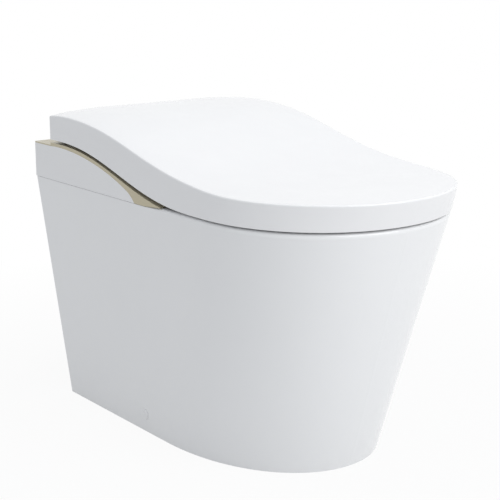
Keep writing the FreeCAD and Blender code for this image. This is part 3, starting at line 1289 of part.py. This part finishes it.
make_skirt()
make_deck()
make_bowl()
make_outlet()
make_fixings()
make_base()
make_side_covers()
make_trims()
make_top_cover()
make_hinge()
make_nozzle()
make_pinion()
make_guide()
make_dryer()
make_deodoriser()
make_button()
make_heater_and_pump()
make_valve()
make_board()
make_gland()
make_flush()
make_seat()
make_lid()
os.makedirs("parts", exist_ok=True)
for name, shape in parts.items():
    shape.exportStep("parts/" + name + ".step")
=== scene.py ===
"""Looks of a one-piece smart toilet: finishes, two small fittings, studio light and camera.

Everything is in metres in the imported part's frame: +Z up, the toilet faces -Y, the floor is z = 0.
"""
import json
import math

import bmesh
import bpy
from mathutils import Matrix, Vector, noise


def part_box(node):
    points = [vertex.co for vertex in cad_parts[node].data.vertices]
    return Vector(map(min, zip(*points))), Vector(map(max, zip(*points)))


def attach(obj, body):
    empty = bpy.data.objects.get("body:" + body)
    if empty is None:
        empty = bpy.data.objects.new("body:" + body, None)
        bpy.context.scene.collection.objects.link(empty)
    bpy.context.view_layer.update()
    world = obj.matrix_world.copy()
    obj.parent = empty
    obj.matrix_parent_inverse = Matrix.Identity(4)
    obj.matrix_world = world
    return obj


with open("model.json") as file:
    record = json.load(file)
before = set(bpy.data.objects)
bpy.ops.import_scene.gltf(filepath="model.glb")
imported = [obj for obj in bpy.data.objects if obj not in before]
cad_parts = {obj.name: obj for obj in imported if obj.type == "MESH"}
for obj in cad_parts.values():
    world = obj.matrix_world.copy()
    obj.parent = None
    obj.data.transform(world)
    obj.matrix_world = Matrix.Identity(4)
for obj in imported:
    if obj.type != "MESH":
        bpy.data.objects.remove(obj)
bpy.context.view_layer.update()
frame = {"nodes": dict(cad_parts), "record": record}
nodes = frame["nodes"]
scene = bpy.context.scene

# ---------------------------------------------------------------- camera, as the photograph was taken
CAMERA_PLACE = (-1.1886, -1.4863, 0.7557)
CAMERA_TILT = math.radians(75.98)
CAMERA_TURN = math.radians(-37.88)
CAMERA_LENS = 88.9
CAMERA_SHIFT = (0.0192, 0.0107)
CAMERA_SENSOR = 36.0
CAMERA_CLIP = (0.05, 30.0)


# ================================================================ materials
CARTRIDGE_WHITE_FROM = 0.1936    # x where the cartridge's white end begins, behind its finger grip
CARTRIDGE_WHITE_EDGE = 0.0004    # over which black turns to white
RIPPLE_SHARE = 0.05              # of the glaze's slow waves, in its fine ripples


class Nodes:
    """A short way to write the nodes of a material or world, made with their inputs set or linked."""

    def __init__(self, owner, output="OutputMaterial"):
        owner.use_nodes = True
        self.owner = owner
        self.tree = owner.node_tree
        self.tree.nodes.clear()
        self.output = self.add(output)

    def add(self, kind, settings=None, **inputs):
        node = self.tree.nodes.new("ShaderNode" + kind)
        for key, value in (settings or {}).items():
            setattr(node, key, value)
        for key, value in inputs.items():
            self.plug(node.inputs[key.replace("_", " ")], value)
        return node

    def plug(self, socket, value):
        if isinstance(value, bpy.types.NodeSocket):
            self.tree.links.new(value, socket)
        elif isinstance(value, tuple) and len(value) == 3 and socket.type == "RGBA":
            socket.default_value = value + (1.0,)
        else:
            socket.default_value = value

    def math(self, operation, a, b=0.0):
        node = self.tree.nodes.new("ShaderNodeMath")
        node.operation = operation
        self.plug(node.inputs[0], a)
        self.plug(node.inputs[1], b)
        return node.outputs[0]

    def place(self):
        """Coordinates in metres that stay with the piece."""
        return self.add("TexCoord").outputs["Object"]

    def noise(self, scale, detail=3.0, stretch=None):
        where = self.place()
        if stretch:
            where = self.add("Mapping", Vector=where, Scale=stretch).outputs["Vector"]
        return self.add("TexNoise", Vector=where, Scale=scale, Detail=detail).outputs[0]

    def spread(self, value, low, high, start=0.35, end=0.65):
        """Maps value to a number that runs from low, at start, to high, at end."""
        node = self.add(
            "MapRange", {"clamp": True}, Value=value, From_Min=start, From_Max=end, To_Min=low, To_Max=high)
        return node.outputs[0]

    def tint(self, value, low, high):
        """A colour that runs from low to high with value."""
        ramp = self.add("ValToRGB", Fac=value)
        ramp.color_ramp.elements[0].color = low + (1.0,)
        ramp.color_ramp.elements[1].color = high + (1.0,)
        return ramp.outputs["Color"]

    def bump(self, height, depth):
        """Turns a 0 to 1 height into a normal, with depth in metres."""
        return self.add("Bump", Height=height, Distance=depth, Strength=1.0).outputs["Normal"]

    def surface(self, **inputs):
        shader = self.add("BsdfPrincipled", **inputs)
        self.plug(self.output.inputs["Surface"], shader.outputs[0])
        return self.owner


def material(name):
    return Nodes(bpy.data.materials.new(name))


def glazed_china():
    """White glaze over fired clay: glassy, with the slow waves and the fine ripples of a real glaze."""
    n = material("glazed china")
    waves = n.noise(9.0, 2.0)
    ripples = n.noise(160.0, 2.0)
    height = n.math("ADD", waves, n.math("MULTIPLY", ripples, RIPPLE_SHARE))
    colour = n.tint(n.noise(5.0, 3.0), (0.845, 0.85, 0.855), (0.875, 0.878, 0.88))
    return n.surface(
        Base_Color=colour, Roughness=n.spread(n.noise(38.0), 0.07, 0.12), IOR=1.52,
        Coat_Weight=0.35, Coat_Roughness=0.04, Normal=n.bump(height, 0.0006))


def moulded_plastic(name, low, high, rough, grain=900.0, depth=0.00003):
    """Injection-moulded plastic: a fine mould texture and a slight drift in gloss."""
    n = material(name)
    fine = n.noise(grain, 2.0)
    slow = n.noise(14.0, 2.0)
    return n.surface(
        Base_Color=n.tint(slow, low, high), Roughness=n.spread(slow, rough * 0.88, rough * 1.12),
        Normal=n.bump(fine, depth))


def champagne_metal():
    """Brushed champagne trim: hairlines along the toilet's length under a thin clear lacquer."""
    n = material("champagne metal")
    lines = n.noise(700.0, 3.0, stretch=(1.0, 0.02, 1.0))
    drift = n.noise(30.0, 2.0, stretch=(1.0, 0.1, 1.0))
    colour = n.tint(drift, (0.425, 0.385, 0.275), (0.49, 0.445, 0.325))
    return n.surface(
        Base_Color=colour, Metallic=0.6, Roughness=n.spread(lines, 0.3, 0.42),
        Coat_Weight=0.2, Coat_Roughness=0.15, Normal=n.bump(lines, 0.00003))


def soft_rubber(name, low, high, rough):
    n = material(name)
    dust = n.noise(60.0, 4.0)
    return n.surface(
        Base_Color=n.tint(dust, low, high), Roughness=n.spread(dust, rough * 0.9, rough * 1.08),
        Normal=n.bump(n.noise(500.0), 0.00006))


def brushed_steel():
    n = material("brushed steel")
    lines = n.noise(900.0, 3.0, stretch=(0.04, 1.0, 1.0))
    return n.surface(
        Base_Color=n.tint(lines, (0.52, 0.52, 0.53), (0.68, 0.68, 0.69)), Metallic=1.0,
        Roughness=n.spread(lines, 0.18, 0.34), Normal=n.bump(lines, 0.00002))


def machined_brass():
    n = material("machined brass")
    rings = n.noise(600.0, 2.0, stretch=(1.0, 1.0, 0.1))
    return n.surface(
        Base_Color=n.tint(n.noise(25.0), (0.60, 0.43, 0.17), (0.74, 0.56, 0.26)), Metallic=1.0,
        Roughness=n.spread(rings, 0.22, 0.36), Normal=n.bump(rings, 0.00004))


def circuit_board():
    """Green solder mask with paler tracks."""
    n = material("circuit board")
    grid = n.add(
        "TexBrick", Vector=n.place(), Scale=260.0,
        Color1=(0.01, 0.10, 0.045), Color2=(0.012, 0.13, 0.06), Mortar=(0.05, 0.22, 0.10))
    return n.surface(Base_Color=grid.outputs["Color"], Roughness=n.spread(n.noise(80.0), 0.3, 0.45))


def heating_film():
    n = material("heating film")
    wave = n.add("TexWave", Vector=n.place(), Scale=45.0, Distortion=0.6)
    return n.surface(
        Base_Color=n.tint(wave.outputs["Color"], (0.35, 0.16, 0.07), (0.62, 0.33, 0.16)), Roughness=0.4)


def frosted_lens():
    n = material("frosted lens")
    return n.surface(
        Base_Color=n.tint(n.noise(90.0), (0.72, 0.80, 0.86), (0.80, 0.86, 0.90)),
        Roughness=n.spread(n.noise(300.0), 0.25, 0.4), Transmission_Weight=0.5)


def cartridge_plastic():
    """Black plastic whose outer end is white, to match the cover that it is flush with."""
    n = material("cartridge plastic")
    across = n.add("SeparateXYZ", Vector=n.place()).outputs["X"]
    end = n.spread(across, 0.0, 1.0, CARTRIDGE_WHITE_FROM, CARTRIDGE_WHITE_FROM + CARTRIDGE_WHITE_EDGE)
    return n.surface(
        Base_Color=n.tint(end, (0.016, 0.016, 0.018), (0.87, 0.87, 0.872)),
        Roughness=n.spread(end, 0.45, 0.2, 0.0, 1.0), Normal=n.bump(n.noise(600.0, 2.0), 0.00005))


def crushed_carbon():
    n = material("crushed carbon")
    grains = n.add("TexVoronoi", Vector=n.place(), Scale=1400.0)
    return n.surface(
        Base_Color=n.tint(grains.outputs["Distance"], (0.03, 0.03, 0.032), (0.008, 0.008, 0.009)),
        Roughness=n.spread(n.noise(900.0), 0.5, 0.8), Normal=n.bump(grains.outputs["Distance"], 0.0002))


FINISHES = {
    "glazed_white": glazed_china(),
    "white_gloss": moulded_plastic("white gloss plastic", (0.86, 0.86, 0.865), (0.885, 0.885, 0.885), 0.2),
    "white_matte": moulded_plastic(
        "white satin plastic", (0.76, 0.765, 0.77), (0.80, 0.80, 0.80), 0.42, 600.0, 0.00008),
    "champagne": champagne_metal(),
    "grey_plastic": moulded_plastic(
        "grey plastic", (0.20, 0.21, 0.22), (0.25, 0.26, 0.27), 0.5, 500.0, 0.0001),
    "black_plastic": moulded_plastic(
        "black plastic", (0.012, 0.012, 0.014), (0.022, 0.022, 0.025), 0.45, 500.0, 0.0001),
    "black_rubber": soft_rubber("black rubber", (0.012, 0.012, 0.012), (0.03, 0.03, 0.03), 0.72),
    "grey_rubber": soft_rubber("grey rubber", (0.28, 0.285, 0.29), (0.34, 0.345, 0.35), 0.65),
    "silicone": soft_rubber("silicone", (0.58, 0.58, 0.56), (0.66, 0.66, 0.64), 0.4),
    "steel": brushed_steel(),
    "brass": machined_brass(),
    "board_green": circuit_board(),
    "copper_film": heating_film(),
    "lens": frosted_lens(),
}


def finish_node(name, slot):
    mesh = nodes[name].data
    mesh.materials.clear()
    mesh.materials.append(FINISHES[slot])


for piece in frame["record"]["subparts"]:
    finish_node(piece["node"], piece["material_slot"])
nodes["deodoriser_cartridge"].data.materials[0] = cartridge_plastic()


# ================================================================ small pieces
CARBON_BARS = 6               # one for each slot of the cartridge
CARBON_PITCH = 0.007
CARBON_START = (0.0054, 0.0048)    # x, y of the first bar, from the cartridge's low corner
CARBON_BAR = (0.0462, 0.0044, 0.0245)    # a little past its slot's walls and floor, so that no gap shows
CARBON_DROP = 0.0018          # the bars' tops below the cartridge's top
CARBON_LUMPS = 0.0007
CARBON_STEP = 0.0006          # how finely a bar's top is divided
FIN_COUNT = 5                 # across the dryer's mouth
FIN_THICK = 0.0009
FIN_LENGTH = 0.006
FIN_INSET = 0.0006            # behind the mouth's edge
FIN_NOSE_STEPS = 8
DUCT_WALL = 0.002


def add_piece(name, bm, finish, body):
    """Makes a mesh object from bm that rides on a body."""
    bmesh.ops.recalc_face_normals(bm, faces=bm.faces)
    mesh = bpy.data.meshes.new(name)
    bm.to_mesh(mesh)
    bm.free()
    mesh.materials.append(finish)
    piece = bpy.data.objects.new(name, mesh)
    scene.collection.objects.link(piece)
    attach(piece, body)


def wall(bm, lower, upper):
    """Joins two rings of vertices with four-sided faces."""
    for i in range(len(lower)):
        bm.faces.new((lower[i - 1], lower[i], upper[i], upper[i - 1]))


def sheet(bm, rows):
    """Fills rows of vertices with faces and returns the ring of vertices round its edge."""
    for near, far in zip(rows, rows[1:]):
        for i in range(1, len(near)):
            bm.faces.new((near[i - 1], near[i], far[i], far[i - 1]))
    return rows[0] + [row[-1] for row in rows[1:-1]] + rows[-1][::-1] + [row[0] for row in rows[-2:0:-1]]


def lumpy(point):
    """The point moved up or down to make a lumpy surface."""
    return point + Vector((0.0, 0.0, CARBON_LUMPS * noise.noise(point / CARBON_STEP / 2)))


def steps(start, length):
    """Even steps from start over a length."""
    count = round(length / CARBON_STEP)
    return [start + length * i / count for i in range(count + 1)]


def lumpy_bar(bm, low):
    """A bar of carbon with an uneven top, from its low corner."""
    xs = steps(low[0], CARBON_BAR[0])
    ys = steps(low[1], CARBON_BAR[1])
    top = low[2] + CARBON_BAR[2]
    upper = sheet(bm, [[bm.verts.new(lumpy(Vector((x, y, top)))) for x in xs] for y in ys])
    lower = sheet(bm, [[bm.verts.new((x, y, low[2])) for x in xs] for y in ys])
    wall(bm, lower, upper)


def make_carbon():
    """Crushed carbon in the cartridge's slots."""
    low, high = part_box("deodoriser_cartridge")
    bottom = high[2] - CARBON_DROP - CARBON_BAR[2]
    bm = bmesh.new()
    for i in range(CARBON_BARS):
        lumpy_bar(bm, (low[0] + CARBON_START[0], low[1] + CARBON_START[1] + i * CARBON_PITCH, bottom))
    add_piece("carbon_filter", bm, crushed_carbon(), "cartridge")


def fin_outline(x, y):
    """A fin seen from above: a round nose at the front, square behind."""
    radius = FIN_THICK / 2
    turns = [math.pi * i / FIN_NOSE_STEPS for i in range(FIN_NOSE_STEPS + 1)]
    nose = [(x - radius * math.cos(turn), y + radius * (1 - math.sin(turn))) for turn in turns]
    return nose + [(x + radius, y + FIN_LENGTH), (x - radius, y + FIN_LENGTH)]


def make_dryer_fins():
    """Upright fins across the dryer's mouth."""
    low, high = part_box("dryer_duct")
    left = low[0] + DUCT_WALL
    right = high[0] - DUCT_WALL
    bottom = low[2] + DUCT_WALL
    top = high[2] - DUCT_WALL
    bm = bmesh.new()
    for i in range(FIN_COUNT):
        x = left + (i + 1) * (right - left) / (FIN_COUNT + 1)
        outline = fin_outline(x, low[1] + FIN_INSET)
        lower = [bm.verts.new((px, py, bottom)) for px, py in outline]
        upper = [bm.verts.new((px, py, top)) for px, py in outline]
        bm.faces.new(lower)
        bm.faces.new(upper)
        wall(bm, lower, upper)
    add_piece("dryer_fins", bm, FINISHES["grey_plastic"], "toilet")


make_carbon()
make_dryer_fins()


# ================================================================ studio
FLOOR_SIZE = 60.0             # so large that the camera sees no edge of it
FLOOR_WHITE = 0.92            # share of plain white in the floor as the camera sees it, near the toilet
FLOOR_FADE = (0.45, 1.2)      # metres from the middle over which the rest turns white too
FLOOR_LIT = (0.78, 0.78, 0.78)    # the floor's own colour, which the shadow falls on
AMBIENT = 0.585
AMBIENT_TINT = (0.93, 0.957, 1.0)
WHITE = (1.0, 1.0, 1.0)
LIGHT_TARGET = (0.0, 0.0, 0.25)
KEY_LIGHT = ((0.3, -2.15, 1.7), (2.3, 1.9), 30.0)    # place, size, watts
TOP_LIGHT = ((-0.1, 0.1, 2.3), (1.8, 1.8), 10.5)


def seen_directly(n):
    """1 for rays from the camera, from a reflection or through glass, else 0."""
    path = n.add("LightPath").outputs
    seen = n.math("MAXIMUM", path["Is Camera Ray"], path["Is Glossy Ray"])
    return n.math("MAXIMUM", seen, path["Is Transmission Ray"])


def make_floor():
    half = FLOOR_SIZE / 2
    mesh = bpy.data.meshes.new("floor")
    corners = [(-half, -half, 0), (half, -half, 0), (half, half, 0), (-half, half, 0)]
    mesh.from_pydata(corners, [], [(0, 1, 2, 3)])
    floor = bpy.data.objects.new("floor", mesh)
    scene.collection.objects.link(floor)
    n = material("studio floor")
    distance = n.add("VectorMath", {"operation": "LENGTH"})
    n.plug(distance.inputs[0], n.place())
    white = n.spread(distance.outputs["Value"], FLOOR_WHITE, 1.0, *FLOOR_FADE)
    lit = n.add("BsdfDiffuse", Color=FLOOR_LIT)
    glow = n.add("Emission", Color=WHITE, Strength=1.0)
    mixed = n.add("MixShader", Fac=n.math("MULTIPLY", seen_directly(n), white))
    n.plug(mixed.inputs[1], lit.outputs[0])
    n.plug(mixed.inputs[2], glow.outputs[0])
    n.plug(n.output.inputs["Surface"], mixed.outputs[0])
    mesh.materials.append(n.owner)


def make_world():
    """White where it is seen, and a dimmer, slightly cool light for everything it shines on."""
    scene.world = bpy.data.worlds.new("studio")
    n = Nodes(scene.world, "OutputWorld")
    light = n.add("Background", Color=AMBIENT_TINT, Strength=AMBIENT)
    white = n.add("Background", Color=WHITE, Strength=1.0)
    mixed = n.add("MixShader", Fac=seen_directly(n))
    n.plug(mixed.inputs[1], light.outputs[0])
    n.plug(mixed.inputs[2], white.outputs[0])
    n.plug(n.output.inputs["Surface"], mixed.outputs[0])


def area_light(name, place, size, power):
    """A rectangular lamp that faces the middle of the toilet."""
    data = bpy.data.lights.new(name, "AREA")
    data.shape = "RECTANGLE"
    data.size, data.size_y = size
    data.energy = power
    lamp = bpy.data.objects.new(name, data)
    scene.collection.objects.link(lamp)
    lamp.location = place
    lamp.rotation_euler = (Vector(LIGHT_TARGET) - Vector(place)).to_track_quat("-Z", "Y").to_euler()


def make_camera():
    data = bpy.data.cameras.new("camera")
    data.lens = CAMERA_LENS
    data.sensor_width = CAMERA_SENSOR
    data.shift_x, data.shift_y = CAMERA_SHIFT
    data.clip_start, data.clip_end = CAMERA_CLIP
    camera = bpy.data.objects.new("camera", data)
    scene.collection.objects.link(camera)
    camera.location = CAMERA_PLACE
    camera.rotation_euler = (CAMERA_TILT, 0.0, CAMERA_TURN)
    scene.camera = camera


make_floor()
make_world()
area_light("key", *KEY_LIGHT)
area_light("top", *TOP_LIGHT)
make_camera()
scene.view_settings.view_transform = "Standard"
